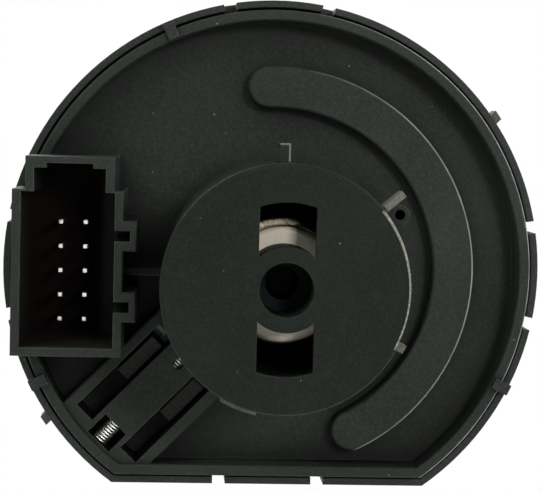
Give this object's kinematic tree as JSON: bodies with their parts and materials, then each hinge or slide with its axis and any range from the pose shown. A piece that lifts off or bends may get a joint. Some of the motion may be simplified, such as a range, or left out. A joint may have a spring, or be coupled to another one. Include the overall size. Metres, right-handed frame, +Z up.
{
  "type": "rotary headlight switch",
  "caption": "Round dashboard headlight switch with a flat bottom, a push and turn knob, a plug socket and two sprung latches.",
  "frame": {"origin": "on the knob's axis, at the rear edge of the bezel's ring", "axes": "+Z up, towards the side opposite the flat; +Y along the knob's axis to the front, where the knob is; +X to the right when looking at the back"},
  "size_m": [0.085, 0.0647, 0.077],
  "materials": {
    "bezel": "fine grained, matt black",
    "face_plate": "piano black",
    "symbol_lens": "milky, translucent",
    "satin_chrome": "satin",
    "housing": "fine grained, matt black",
    "release_ring": "grey",
    "latch": "dark grey",
    "spring_wire": "drawn wire",
    "shaft": "smooth, matt black",
    "spring_seat": "cream, half gloss",
    "board": "green solder mask",
    "rotor": "smooth",
    "contact_brass": "stamped",
    "lamps": "clear resin",
    "knob": "soft matt black",
    "marking": "white",
    "pin_metal": "tin plated"
  },
  "bodies": {
    "switch": {"bezel": "bezel", "face_plate": "face_plate", "symbol_lens": "symbol_lens", "trim_ring": "satin_chrome", "base_housing": "housing", "rear_cap": "housing", "lower_latch_spring": "spring_wire", "upper_latch_spring": "spring_wire", "return_spring": "spring_wire", "detent_leaf": "spring_wire", "spring_seat": "spring_seat", "circuit_board": "board", "lamps": "lamps", "contact_pins_1": "pin_metal", "contact_pins_2": "pin_metal"},
    "rotor": {"contact_rotor": "rotor", "wiper_contacts": "contact_brass"},
    "knob": {"knob_shaft": "shaft", "knob": "knob", "knob_pointer": "marking", "knob_band": "satin_chrome"},
    "release": {"release_ring": "release_ring", "release_cam": "release_ring"},
    "lower_latch_body": {"lower_latch": "latch"},
    "upper_latch_body": {"upper_latch": "latch"}
  },
  "joints": [
    {"name": "knob_turn", "type": "hinge", "parent": "switch", "child": "rotor", "pos_m": [0, 0, 0], "axis": [0, -1, 0], "range_deg": [-22.5, 45], "deforming": ["detent_leaf"]},
    {"name": "knob_push", "type": "slide", "parent": "rotor", "child": "knob", "axis": [0, -1, 0], "range_m": [0, 0.0025], "stiffness_N_per_m": 2000, "springref_m": -0.001, "deforming": ["return_spring"]},
    {"name": "release_turn", "type": "hinge", "parent": "switch", "child": "release", "pos_m": [0, 0, 0], "axis": [0, -1, 0], "range_deg": [0, 15], "stiffness_Nm_per_rad": 0.3, "springref_deg": -2.86},
    {"name": "lower_latch_slide", "type": "slide", "parent": "switch", "child": "lower_latch_body", "axis": [0.6984, 0, 0.7157], "range_m": [0, 0.002], "deforming": ["lower_latch_spring"]},
    {"name": "upper_latch_slide", "type": "slide", "parent": "switch", "child": "upper_latch_body", "axis": [-0.6984, 0, -0.7157], "range_m": [0, 0.002], "deforming": ["upper_latch_spring"]}
  ],
  "couplings": [
    {"joint": "lower_latch_slide", "follows": "release_turn", "m_per_rad": 0.007639},
    {"joint": "upper_latch_slide", "follows": "release_turn", "m_per_rad": 0.007639}
  ]
}
